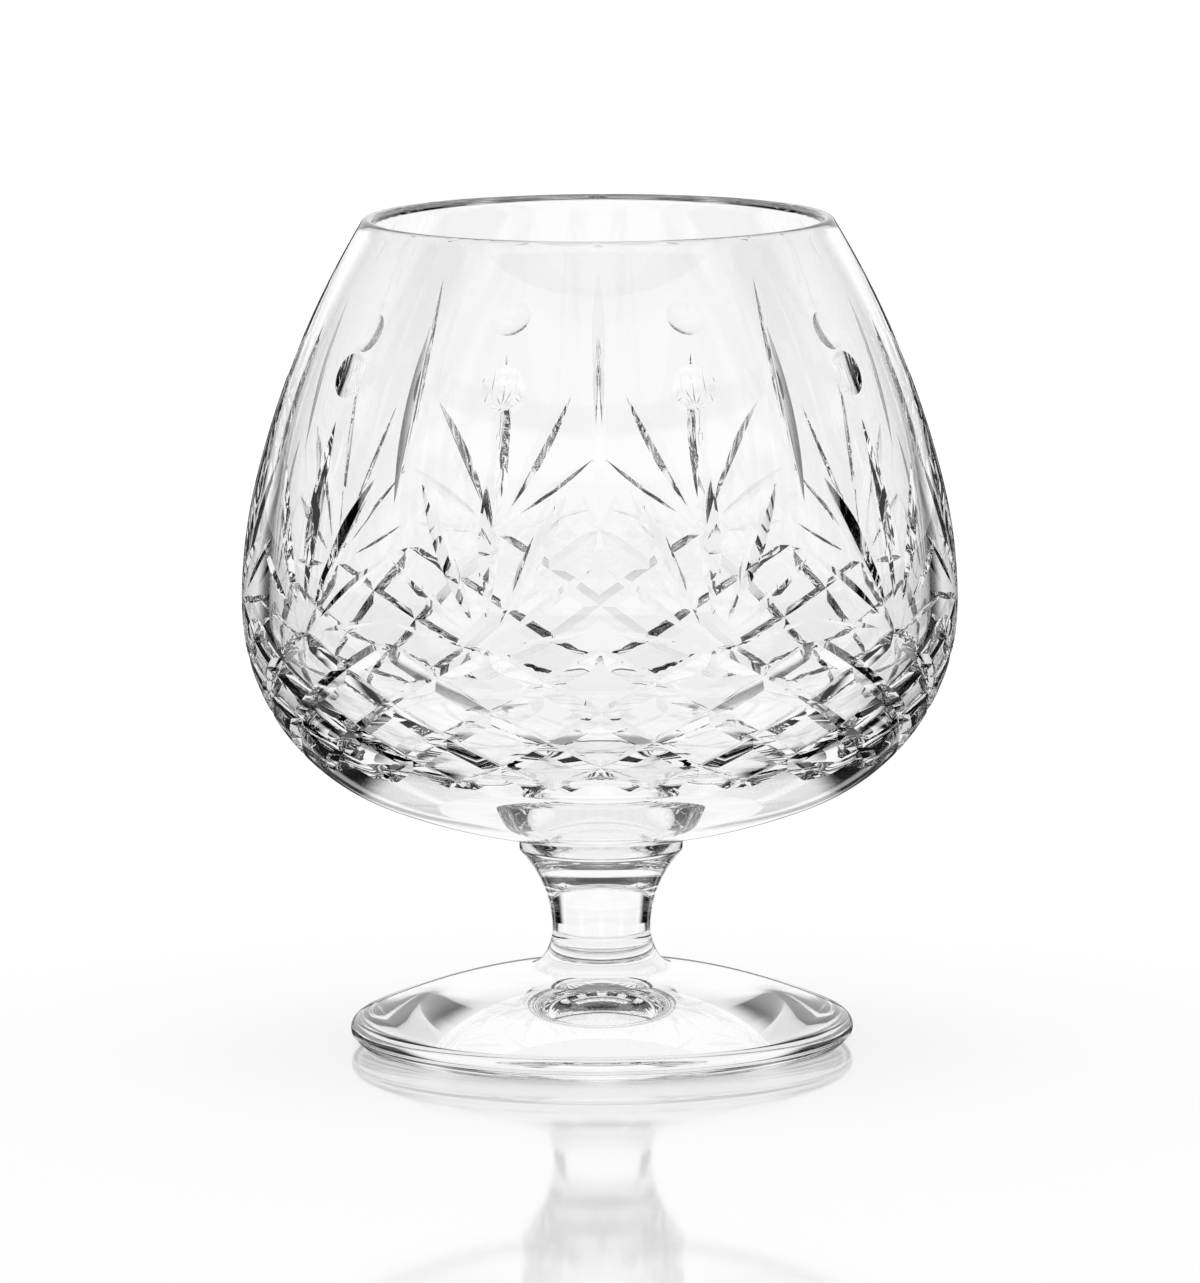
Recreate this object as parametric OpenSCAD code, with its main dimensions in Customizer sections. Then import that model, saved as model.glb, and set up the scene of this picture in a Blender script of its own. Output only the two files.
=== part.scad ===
// Brandy snifter: a wide crystal bowl on a short waisted stem and a domed foot.
// Three pieces of glass, each seated flat on the next and joined hot.
// Millimetres, +Z up, origin on the table at the middle of the standing ring.

/* [Bowl] */
// Height of the rim above the table
overall_height = 125; // [112:0.5:140]
// Outer diameter of the belly at its widest ring
belly_diameter = 107.6; // [96:0.2:120]
// Height of the widest ring above the table
belly_height = 67; // [60:0.5:74]
// Outer diameter of the lip
rim_diameter = 71; // [60:0.5:82]
// Wall of the bowl at the belly
belly_wall = 4; // [2.5:0.1:5.5]
// Wall of the bowl at the rim, which is also the diameter of its round lip
rim_wall = 1.8; // [1.2:0.1:2.4]
// Height of the floor inside the bowl above the table
floor_height = 39; // [36:0.5:44]

/* [Cut pattern] */
// Diamonds round the crossed band
diamond_count = 20; // [14:1:24]
// Rows of diamonds in the band
diamond_rows = 2.5; // [1.5:0.5:3.5]
// Height of the lower edge of the band above the table
band_low = 44.5; // [43:0.1:50]
// Height of its upper edge
band_high = 66.8; // [60:0.1:66.8]
// Depth of the grooves between the diamonds
groove_depth = 0.6; // [0.3:0.05:0.9]
// Fans of blades that stand on the band
fan_count = 10; // [6:1:10]
// Distance from the foot of a fan to the start of its blades
fan_gap = 4.6; // [4:0.1:5]
// Length of the middle blade of a fan
blade_length = 25; // [18:0.5:25.5]

/* [Stem] */
// Diameter of the collar under the bowl, and of the seat that it joins
collar_diameter = 24.6; // [20:0.2:30]
// Height of the seat between collar and bowl above the table
seat_height = 31.6; // [29:0.2:34]
// Height of the upright side of the collar
collar_height = 1.8; // [1.4:0.1:4]
// Radius that rounds the lower edge of the collar
collar_round = 1.2; // [0.6:0.1:2]
// Diameter of the stem at its waist
waist_diameter = 14.9; // [11:0.1:18]
// Height of the waist above the table
waist_height = 17.3; // [16:0.1:19]
// Diameter of the joint between stem and foot
joint_diameter = 17.2; // [16:0.1:20]
// Height of that joint above the table
joint_height = 13.3; // [12.6:0.1:14.4]

/* [Foot] */
// Outer diameter of the foot
foot_diameter = 75.8; // [66:0.2:86]
// Height of the foot's widest edge above the table
edge_height = 2.3; // [1.6:0.1:3]
// Diameter at which the dome of the foot meets the hollow below the joint
neck_diameter = 23; // [21:0.2:27]
// Height of the dome there
neck_height = 11.4; // [10.4:0.1:12]
// Outer diameter of the ring that stands on the table
ring_diameter = 70.4; // [62:0.2:74]
// Width of that ring
ring_width = 2.4; // [1.5:0.1:4]
// Depth of the dish under the foot
dish_depth = 2; // [0.5:0.1:4]

/* [Hidden] */
$fn = 180;

// Overlap that lets two arcs which touch run smoothly into each other
blend = 0.001;

// Height by which the cutting wheels stand clear of the glass
wheel_clear = 0.6;
// Half of the angle between the sides of a groove, and of a blade
groove_half_angle = 65;
blade_half_angle = 60;
// Depth of the grooves that are cut last, across the others
cross_depth_share = 1.07;
cross_depth = cross_depth_share * groove_depth;
// Angle between neighbouring blades of a fan
blade_step = 26;
// Length of the blades from the middle of a fan outwards
blade_length_shares = [1, 0.88, 0.62];

// Lean of the wall at the lip, as a share of the lean that one plain arc would have
lip_lean_share = 0.84;
// The same where the underside of the bowl meets the collar
underside_lean_share = 0.83;
// The same where the dome of the foot meets the hollow of its neck
dome_lean_share = 0.58;
// The same where the edge of the foot meets the table
edge_lean_share = 0.83;
// Part of an outline's turn that its first arc takes, next to the widest ring
shoulder_turn_share = 0.46;
corner_turn_share = 0.83;
floor_turn_share = 0.8;
dome_turn_share = 0.79;
edge_turn_share = 0.5;

belly_radius = belly_diameter / 2;
collar_radius = collar_diameter / 2;
waist_radius = waist_diameter / 2;
joint_radius = joint_diameter / 2;
foot_radius = foot_diameter / 2;
neck_radius = neck_diameter / 2;
ring_radius = ring_diameter / 2;
lip_radius = rim_wall / 2;

// Points are [distance from the axis, height].
belly_point = [belly_radius, belly_height];
inner_belly_point = [belly_radius - belly_wall, belly_height];
lip_centre = [rim_diameter / 2 - lip_radius, overall_height - lip_radius];
lip_lean = lean_of(belly_point, lip_centre, lip_lean_share);
lip_outside = lip_centre + lip_radius * along(lip_lean);
lip_inside = lip_centre - lip_radius * along(lip_lean);
seat_point = [collar_radius, seat_height];
floor_point = [0, floor_height];
edge_point = [foot_radius, edge_height];
neck_point = [neck_radius, neck_height];
ring_point = [ring_radius, 0];
joint_point = [joint_radius, joint_height];

// Unit direction at an angle above the horizontal
function along(angle) = [cos(angle), sin(angle)];

// Lean from upright at the end of an outline that starts upright at its widest ring
function lean_of(widest, end, share) =
    2 * share * atan2(widest[0] - end[0], abs(end[1] - widest[1]));

// Two tangent arcs from a widest ring, where the outline stands upright, to an end with a given lean.
// Each arc is [centre, radius, height where it begins, height where it ends].
function two_arcs(widest, end, lean, turn_share) =
    let (
        turn = turn_share * lean,
        inset = widest[0] - end[0],
        rise = abs(end[1] - widest[1]),
        way = sign(end[1] - widest[1]),
        sine_left = sin(lean) - sin(turn),
        cosine_left = cos(turn) - cos(lean),
        cosine_used = 1 - cos(turn),
        scale = cosine_used * sine_left - cosine_left * sin(turn),
        first = (inset * sine_left - rise * cosine_left) / scale,
        second = (cosine_used * rise - sin(turn) * inset) / scale,
        first_centre = [widest[0] - first, widest[1]],
        second_centre = first_centre + (first - second) * [cos(turn), way * sin(turn)],
        join_height = widest[1] + way * first * sin(turn)
    )
    [
        [first_centre, first, widest[1], join_height],
        [second_centre, second, join_height, end[1]]
    ];

// Radius of an arc that is upright at one point and passes through another
function upright_arc(upright, other) =
    let (inset = abs(other[0] - upright[0]), rise = other[1] - upright[1])
    (inset * inset + rise * rise) / (2 * inset);

// Part of a half section between two heights, from the axis out to a width
module band(width, one_height, other_height) {
    translate([0, min(one_height, other_height)])
    square([width, abs(other_height - one_height)]);
}

// Half section between the axis and the two arcs of an outline.
// With past set, the first arc runs on past the widest ring, into the other half of the piece.
// The section stops at the end of its outline, or at a height that is given.
module two_arc_section(widest, end, lean, turn_share, past = false, stop_height = undef) {
    arcs = two_arcs(widest, end, lean, turn_share);
    stop = is_undef(stop_height) ? end[1] : stop_height;
    first_centre = arcs[0][0];
    first_radius = arcs[0][1] + blend;
    second_centre = arcs[1][0];
    second_radius = arcs[1][1];
    join_height = arcs[0][3];
    way = sign(end[1] - widest[1]);
    width = widest[0] + first_radius;
    intersection() {
        translate(first_centre) circle(r = first_radius);
        band(width, widest[1] - (past ? way * first_radius : 0), stop);
    }
    intersection() {
        translate(second_centre) circle(r = second_radius);
        union() {
            band(width, join_height, stop);
            if (first_centre[0] > 0) band(first_centre[0], widest[1], stop);
        }
    }
    if (second_centre[0] > 0) band(second_centre[0], widest[1], end[1]);
}

// Half section of the whole bowl, as if it were solid glass
module bowl_outside() {
    seat_lean = lean_of(belly_point, seat_point, underside_lean_share);
    two_arc_section(belly_point, seat_point, seat_lean, corner_turn_share, past = true);
    two_arc_section(belly_point, lip_outside, lip_lean, shoulder_turn_share);
}

// Half section of the space inside the bowl, up to the lip
module bowl_inside() {
    two_arc_section(inner_belly_point, floor_point, 90, floor_turn_share, past = true);
    two_arc_section(inner_belly_point, lip_inside, lip_lean, shoulder_turn_share);
}

// Half section of what lies above the slanted line across the lip
module above_lip() {
    polygon([
        [0, lip_inside[1] - rim_wall],
        [lip_inside[0] - rim_wall, lip_inside[1] - rim_wall],
        lip_inside,
        lip_outside,
        [lip_outside[0], overall_height],
        [0, overall_height]
    ]);
}

// The bowl as it is blown, before it is cut
module bowl_blank() {
    rotate_extrude() {
        difference() {
            bowl_outside();
            bowl_inside();
            above_lip();
        }
        translate(lip_centre) circle(r = lip_radius + blend);
    }
}

// Arc of the bowl's outline at a height
function outline_arc(height) =
    let (
        seat_lean = lean_of(belly_point, seat_point, underside_lean_share),
        below = two_arcs(belly_point, seat_point, seat_lean, corner_turn_share),
        above = two_arcs(belly_point, lip_outside, lip_lean, shoulder_turn_share),
        arcs = height < belly_height ? below : above,
        first = abs(height - belly_height) < abs(arcs[0][3] - belly_height)
    )
    arcs[first ? 0 : 1];

// Angle above the horizontal at which the outside of the bowl faces at a height
function facing(height) =
    let (arc = outline_arc(height))
    asin((height - arc[0][1]) / arc[1]);

// Distance of the outside from the axis at a height
function outside_radius(height) =
    let (arc = outline_arc(height))
    arc[0][0] + arc[1] * cos(facing(height));

// Length along the outline from the widest ring up to a height, and the height at such a length
function climb_at(height) =
    let (arc = outline_arc(belly_height + sign(height - belly_height) * blend))
    arc[1] * facing(height) * PI / 180;
function height_at(climb) =
    let (arc = outline_arc(belly_height + sign(climb) * blend))
    belly_height + arc[1] * sin(climb / arc[1] * 180 / PI);

// Direction out of the glass, and a point sunk below its surface, at a height and an angle round the axis
function outward(height, angle) =
    let (up = facing(height))
    [cos(up) * cos(angle), cos(up) * sin(angle), sin(up)];
function sunk(height, angle, depth) =
    let (radius = outside_radius(height))
    [radius * cos(angle), radius * sin(angle), height] - depth * outward(height, angle);

// Middle of the circle through three points
function circle_middle(one, two, three) =
    let (
        first = two - one,
        second = three - one,
        normal = cross(first, second),
        reach = (second * second) * cross(normal, first) + (first * first) * cross(second, normal)
    )
    one + reach / (2 * normal * normal);

// Places a shape with its X, Y and Z along three directions
module aligned(x, y, z, place) {
    multmatrix([
        [x[0], y[0], z[0], place[0]],
        [x[1], y[1], z[1], place[1]],
        [x[2], y[2], z[2], place[2]],
        [0, 0, 0, 1]
    ])
    children();
}

// Section of a V-shaped cut whose point lies at the origin and whose middle faces an angle from X
module v_section(half_angle, height, angle = 0) {
    side = height / cos(half_angle);
    polygon([[0, 0], side * along(angle - half_angle), side * along(angle + half_angle)]);
}

// Groove that runs up the band while it turns round the bowl, one way or the other
module diagonal(way, depth) {
    turn = way * diamond_rows * 360 / diamond_count;
    middle_height = height_at((climb_at(band_low) + climb_at(band_high)) / 2);
    low = sunk(band_low, -turn, depth);
    middle = sunk(middle_height, -turn / 2, depth);
    high = sunk(band_high, 0, depth);
    centre = circle_middle(low, middle, high);
    radius = norm(middle - centre);
    x = (middle - centre) / radius;
    normal = cross(middle - low, high - middle);
    z = normal / norm(normal);
    y = cross(z, x);
    out = outward(middle_height, -turn / 2);
    low_angle = atan2((low - centre) * y, (low - centre) * x);
    high_angle = atan2((high - centre) * y, (high - centre) * x);
    aligned(x, y, z, centre)
    rotate([0, 0, low_angle])
    rotate_extrude(angle = high_angle - low_angle)
    translate([radius, 0])
    v_section(groove_half_angle, depth + wheel_clear, atan2(out * z, out * x));
}

// Straight blade of a fan, as deep as its length needs on the round of the bowl
module blade(lean, length) {
    out = fan_gap + length / 2;
    height = height_at(climb_at(band_high) + out * cos(lean));
    angle = out * sin(lean) / outside_radius(height) * 180 / PI;
    face = facing(height);
    z = outward(height, angle);
    around = [-sin(angle), cos(angle), 0];
    up = [-sin(face) * cos(angle), -sin(face) * sin(angle), cos(face)];
    x = cos(lean) * up + sin(lean) * around;
    y = cross(z, x);
    bend = pow(cos(lean), 2) / outline_arc(height)[1] + pow(sin(lean), 2) * cos(face) / outside_radius(height);
    depth = length * length * bend / 8;
    aligned(y, z, x, sunk(height, angle, depth))
    translate([0, 0, -length])
    linear_extrude(height = 2 * length)
    v_section(blade_half_angle, depth + wheel_clear, 90);
}

module fan() {
    for (i = [0 : len(blade_length_shares) - 1]) {
        blade(i * blade_step, blade_length * blade_length_shares[i]);
        if (i > 0) blade(-i * blade_step, blade_length * blade_length_shares[i]);
    }
}

// Copies turned evenly round the axis
module round_axis(count) {
    for (i = [0 : count - 1]) rotate([0, 0, i * 360 / count]) children();
}

module bowl() {
    color("aliceblue", 0.5)
    difference() {
        difference() {
            bowl_blank();
            round_axis(diamond_count) diagonal(1, groove_depth);
            round_axis(fan_count) fan();
        }
        round_axis(diamond_count) diagonal(-1, cross_depth);
    }
}

// Radius of a hollow arc that starts upright and ends tangent to a bead
function flare_arc(upright, bead_centre, bead_radius) =
    let (across = bead_centre - upright)
    (across * across - bead_radius * bead_radius) / (2 * (bead_radius + across[0]));

// Half section of the stem: a collar with a rounded lower edge over a spool with a narrow waist
module stem_section() {
    waist_point = [waist_radius, waist_height];
    round_centre = [collar_radius - collar_round, seat_height - collar_height];
    flare_radius = flare_arc(waist_point, round_centre, collar_round);
    flare_centre = waist_point + [flare_radius, 0];
    lower_radius = upright_arc(waist_point, joint_point);
    collar_middle = seat_height - collar_height / 2;
    touch = flare_centre + (round_centre - flare_centre) * flare_radius / (flare_radius + collar_round);

    band(collar_radius, round_centre[1], seat_height);
    translate(round_centre) circle(r = collar_round + blend);
    difference() {
        union() {
            band(waist_radius, joint_height, collar_middle);
            band(touch[0], waist_height, collar_middle);
            band(joint_radius, joint_height, waist_height);
        }
        intersection() {
            translate(flare_centre) circle(r = flare_radius);
            band(flare_centre[0], waist_height, seat_height);
        }
        translate(waist_point + [lower_radius, 0]) circle(r = lower_radius + blend);
    }
}

module stem() {
    color("aliceblue", 0.5)
    rotate_extrude() stem_section();
}

// Half section of the neck of the foot, hollowed tangent to its dome
module neck_section(lean) {
    across = joint_point - neck_point;
    hollow_radius = across * across / (2 * across * along(lean));
    difference() {
        band(neck_radius, edge_height, joint_height);
        translate(neck_point + hollow_radius * along(lean)) circle(r = hollow_radius + blend);
    }
}

module foot() {
    dome_lean = lean_of(edge_point, neck_point, dome_lean_share);
    edge_lean = lean_of(edge_point, ring_point, edge_lean_share);
    dish_radius = ring_radius - ring_width;
    dish_curve = upright_arc([0, 0], [dish_depth, dish_radius]);
    color("aliceblue", 0.5)
    rotate_extrude() {
        difference() {
            union() {
                two_arc_section(
                    edge_point, neck_point, dome_lean, dome_turn_share,
                    past = true, stop_height = joint_height
                );
                two_arc_section(edge_point, ring_point, edge_lean, edge_turn_share);
                neck_section(dome_lean);
            }
            intersection() {
                translate([0, dish_depth - dish_curve]) circle(r = dish_curve);
                band(foot_radius, -dish_depth, dish_depth);
            }
        }
    }
}

bowl();
stem();
foot();
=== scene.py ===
"""Looks of a brandy snifter in cut lead crystal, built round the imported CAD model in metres."""

import logging
import math
from collections.abc import Callable, Iterable, Sequence
from dataclasses import dataclass, field
from enum import Enum

import bmesh
import bpy
from mathutils import Matrix, Vector


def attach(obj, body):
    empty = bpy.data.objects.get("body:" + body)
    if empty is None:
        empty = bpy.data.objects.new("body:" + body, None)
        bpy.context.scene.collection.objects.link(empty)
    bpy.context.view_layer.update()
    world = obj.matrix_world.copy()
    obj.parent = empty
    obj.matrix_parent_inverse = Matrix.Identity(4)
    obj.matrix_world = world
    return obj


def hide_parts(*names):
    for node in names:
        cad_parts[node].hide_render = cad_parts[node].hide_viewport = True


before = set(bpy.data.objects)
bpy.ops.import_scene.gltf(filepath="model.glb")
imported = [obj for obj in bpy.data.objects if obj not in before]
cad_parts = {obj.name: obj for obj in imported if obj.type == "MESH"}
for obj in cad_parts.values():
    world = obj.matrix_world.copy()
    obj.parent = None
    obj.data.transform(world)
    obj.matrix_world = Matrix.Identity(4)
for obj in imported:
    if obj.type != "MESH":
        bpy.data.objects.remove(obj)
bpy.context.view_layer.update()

LOG = logging.getLogger("snifter")
ROOT = "root"
MM = 0.001
SAME_POINT_MM = 1e-6  # points of an outline that are closer are one
ON_AXIS_MM = 1e-9  # a point that is closer to the axis lies on it
FLUSH = 1e-6  # metres within which a face lies in a joint
WHITE = (1.0, 1.0, 1.0, 1.0)
Point2 = tuple[float, float]
Piece = bpy.types.Object
Mesh = bpy.types.Mesh
Material = bpy.types.Material
Socket = bpy.types.NodeSocket
Value = float | Socket
Work = bmesh.types.BMesh
Ring = list[bmesh.types.BMVert]


class Lean(Enum):
    """Which way a cut leans as it climbs the bowl."""

    RIGHT = 1
    LEFT = -1


# Outlines of turned pieces


@dataclass(frozen=True)
class Arc:
    """Part of a circle in the half section of a turned piece, whose points are in mm.

    A point is its distance from the axis and its height.

    Attributes:
        centre: Centre of the circle.
        radius: Its radius.
        start: Polar angle where the arc begins, in radians.
        end: Polar angle where it ends.
    """

    centre: Point2
    radius: float
    start: float
    end: float

    @property
    def length(self) -> float:
        """Length of the arc in mm."""
        return self.radius * abs(self.end - self.start)

    def at(self, angle: float) -> Point2:
        """Point of the circle at a polar angle."""
        x, y = self.centre
        return x + self.radius * math.cos(angle), y + self.radius * math.sin(angle)

    def points(self, step: float) -> list[Point2]:
        """Points along the arc, both ends among them.

        Args:
            step: Largest turn between two points, in degrees.

        Returns:
            The points from start to end.
        """
        turn = self.end - self.start
        count = max(2, math.ceil(abs(math.degrees(turn)) / step))
        return [self.at(self.start + turn * i / count) for i in range(count + 1)]

    def reversed(self) -> "Arc":
        """The same arc run from its end to its start."""
        return Arc(self.centre, self.radius, self.end, self.start)


def lean_of(widest: Point2, end: Point2, share: float) -> float:
    """Lean from upright at the end of an outline that starts upright at its widest ring.

    Args:
        widest: Point on the widest ring.
        end: The other end of the outline.
        share: Share of the lean that one plain arc would have there.

    Returns:
        The lean in radians.
    """
    return 2 * share * math.atan2(widest[0] - end[0], abs(end[1] - widest[1]))


def two_arcs(widest: Point2, end: Point2, lean: float, turn_share: float) -> tuple[Arc, Arc]:
    """Two tangent arcs from a widest ring, where the outline is upright, to an end that leans.

    Args:
        widest: Point on the widest ring.
        end: The other end of the outline.
        lean: Lean from upright at that end, in radians.
        turn_share: Share of the whole turn that the first arc takes.

    Returns:
        The arc next to the widest ring and the arc next to the end.
    """
    turn = turn_share * lean
    inset = widest[0] - end[0]
    rise = abs(end[1] - widest[1])
    way = math.copysign(1.0, end[1] - widest[1])
    sine_left = math.sin(lean) - math.sin(turn)
    cosine_left = math.cos(turn) - math.cos(lean)
    cosine_used = 1 - math.cos(turn)
    scale = cosine_used * sine_left - cosine_left * math.sin(turn)
    first = (inset * sine_left - rise * cosine_left) / scale
    second = (cosine_used * rise - math.sin(turn) * inset) / scale
    near = (widest[0] - first, widest[1])
    far = (
        near[0] + (first - second) * math.cos(turn),
        near[1] + way * (first - second) * math.sin(turn),
    )
    return Arc(near, first, 0.0, way * turn), Arc(far, second, way * turn, way * lean)


def joined(runs: Iterable[Sequence[Point2]]) -> list[Point2]:
    """One outline from runs of points, with the points that neighbours share written once.

    Args:
        runs: The runs, in order.

    Returns:
        The points of the outline.
    """
    outline: list[Point2] = []
    for run in runs:
        for point in run:
            if not outline or math.dist(outline[-1], point) > SAME_POINT_MM:
                outline.append(point)
    return outline


def turned_mesh(name: str, outline: Sequence[Point2], segments: int) -> Mesh:
    """Closed mesh turned from an outline that starts and ends on the axis.

    Args:
        name: Name of the mesh.
        outline: Points in mm, run so that the glass lies on their left.
        segments: Number of steps round the axis.

    Returns:
        The mesh in metres, with faces pointing out of the glass.
    """
    verts: list[tuple[float, float, float]] = []
    rings: list[list[int]] = []
    for radius, height in outline:
        steps = 1 if radius < ON_AXIS_MM else segments
        rings.append(list(range(len(verts), len(verts) + steps)))
        for i in range(steps):
            angle = 2 * math.pi * i / segments
            across = (radius * MM * math.cos(angle), radius * MM * math.sin(angle))
            verts.append((*across, height * MM))
    faces: list[tuple[int, ...]] = []
    for lower, upper in zip(rings, rings[1:]):
        for i in range(segments):
            j = (i + 1) % segments
            if len(lower) == 1:
                faces.append((lower[0], upper[j], upper[i]))
            elif len(upper) == 1:
                faces.append((lower[i], lower[j], upper[0]))
            else:
                faces.append((lower[i], lower[j], upper[j], upper[i]))
    mesh = bpy.data.meshes.new(name)
    mesh.from_pydata(verts, [], faces)
    mesh.validate()
    return mesh


def new_piece(name: str, mesh: Mesh) -> Piece:
    """Object at the origin that shows a mesh.

    Args:
        name: Name of the object.
        mesh: The mesh.

    Returns:
        The object, linked to the scene.
    """
    piece = bpy.data.objects.new(name, mesh)
    bpy.context.scene.collection.objects.link(piece)
    return piece


# Finishes


def new_material(name: str) -> Material:
    """Material made of nodes.

    Args:
        name: Name of the material.

    Returns:
        The material with Blender's first nodes.
    """
    made = bpy.data.materials.new(name)
    made.use_nodes = True
    return made


def set_inputs(node: bpy.types.Node, values: dict[str, object]) -> None:
    """Sets inputs of a node by their names."""
    for name, value in values.items():
        node.inputs[name].default_value = value


@dataclass(frozen=True)
class Crystal:
    """Clear lead crystal with the slight unevenness that polishing leaves.

    Attributes:
        name: Name of the material.
        tint: Colour of the glass.
        index: Index of refraction.
        gloss, haze: Roughness where the polish is cleanest and dullest.
        patch, patch_detail: Size in mm of the patches of duller polish, and their finer noise.
        dull: Noise between which the polish goes from cleanest to dullest.
        ripple, ripple_detail: Size in mm of the ripples in the surface, and their finer noise.
        depth: Height of the ripples, in mm.
    """

    name: str
    tint: tuple[float, float, float] = (1.0, 1.0, 1.0)
    index: float = 1.545
    gloss: float = 0.0
    haze: float = 0.012
    patch: float = 33.6
    patch_detail: float = 3.0
    dull: Point2 = (0.5, 0.8)
    ripple: float = 14.0
    ripple_detail: float = 1.0
    depth: float = 0.006

    def material(self) -> Material:
        """Builds the material.

        Returns:
            A glass material whose roughness and bump come from noise on Object coordinates.
        """
        made = new_material(self.name)
        nodes, links = made.node_tree.nodes, made.node_tree.links
        shader = nodes["Principled BSDF"]
        set_inputs(shader, {
            "Base Color": (*self.tint, 1.0),
            "Transmission Weight": 1.0,
            "IOR": self.index,
        })
        place = nodes.new("ShaderNodeTexCoord")
        polish = nodes.new("ShaderNodeTexNoise")
        set_inputs(polish, {"Scale": 1 / (self.patch * MM), "Detail": self.patch_detail})
        dull = nodes.new("ShaderNodeMapRange")
        set_inputs(dull, {"From Min": self.dull[0], "From Max": self.dull[1]})
        set_inputs(dull, {"To Min": self.gloss, "To Max": self.haze})
        wave = nodes.new("ShaderNodeTexNoise")
        set_inputs(wave, {"Scale": 1 / (self.ripple * MM), "Detail": self.ripple_detail})
        bump = nodes.new("ShaderNodeBump")
        set_inputs(bump, {"Strength": 1.0, "Distance": self.depth * MM})
        links.new(place.outputs["Object"], polish.inputs["Vector"])
        links.new(place.outputs["Object"], wave.inputs["Vector"])
        links.new(polish.outputs["Fac"], dull.inputs["Value"])
        links.new(dull.outputs["Result"], shader.inputs["Roughness"])
        links.new(wave.outputs["Fac"], bump.inputs["Height"])
        links.new(bump.outputs["Normal"], shader.inputs["Normal"])
        return made


@dataclass(frozen=True)
class FusedJoint:
    """Face where two pieces of glass were joined hot, so that light passes it unseen.

    Attributes:
        name: Name of the material.
    """

    name: str = "fused_joint"

    def material(self) -> Material:
        """Builds the material.

        Returns:
            A clear material that neither bends nor reflects light.
        """
        made = new_material(self.name)
        nodes, links = made.node_tree.nodes, made.node_tree.links
        nodes.remove(nodes["Principled BSDF"])
        clear = nodes.new("ShaderNodeBsdfTransparent")
        set_inputs(clear, {"Color": WHITE})
        links.new(clear.outputs["BSDF"], nodes["Material Output"].inputs["Surface"])
        return made


def dress(piece: Piece, glass: Material, joint: Material,
          is_joint: Callable[[bpy.types.MeshPolygon], bool], crease: float = 22.0) -> None:
    """Gives a piece its glass, clears its hidden joint faces and keeps its edges crisp.

    Args:
        piece: The piece to dress.
        glass: Finish of everything that shows.
        joint: Finish of the joint faces.
        is_joint: Test that picks the joint faces.
        crease: Smallest angle of an edge that stays sharp, in degrees.
    """
    mesh = piece.data
    mesh.materials.clear()
    mesh.materials.append(glass)
    mesh.materials.append(joint)
    for face in mesh.polygons:
        face.material_index = 1 if is_joint(face) else 0
    mesh.shade_smooth()
    mesh.set_sharp_from_angle(angle=math.radians(crease))
    work = bmesh.new()
    work.from_mesh(mesh)
    for edge in work.edges:
        if len({face.material_index for face in edge.link_faces}) > 1:
            edge.smooth = False
    work.to_mesh(mesh)
    work.free()


def hand_over(piece: Piece, node: str, slot: str) -> None:
    """Seats a finished piece on the CAD body in place of its node, and logs it.

    Args:
        piece: The finished piece.
        node: CAD node that it stands for.
        slot: Material slot of the record that it follows.
    """
    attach(piece, ROOT)
    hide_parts(node)
    count = sum(len(face.vertices) - 2 for face in piece.data.polygons)
    LOG.info("%s: %d triangles, slot %s", piece.name, count, slot)


# The glass


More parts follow.
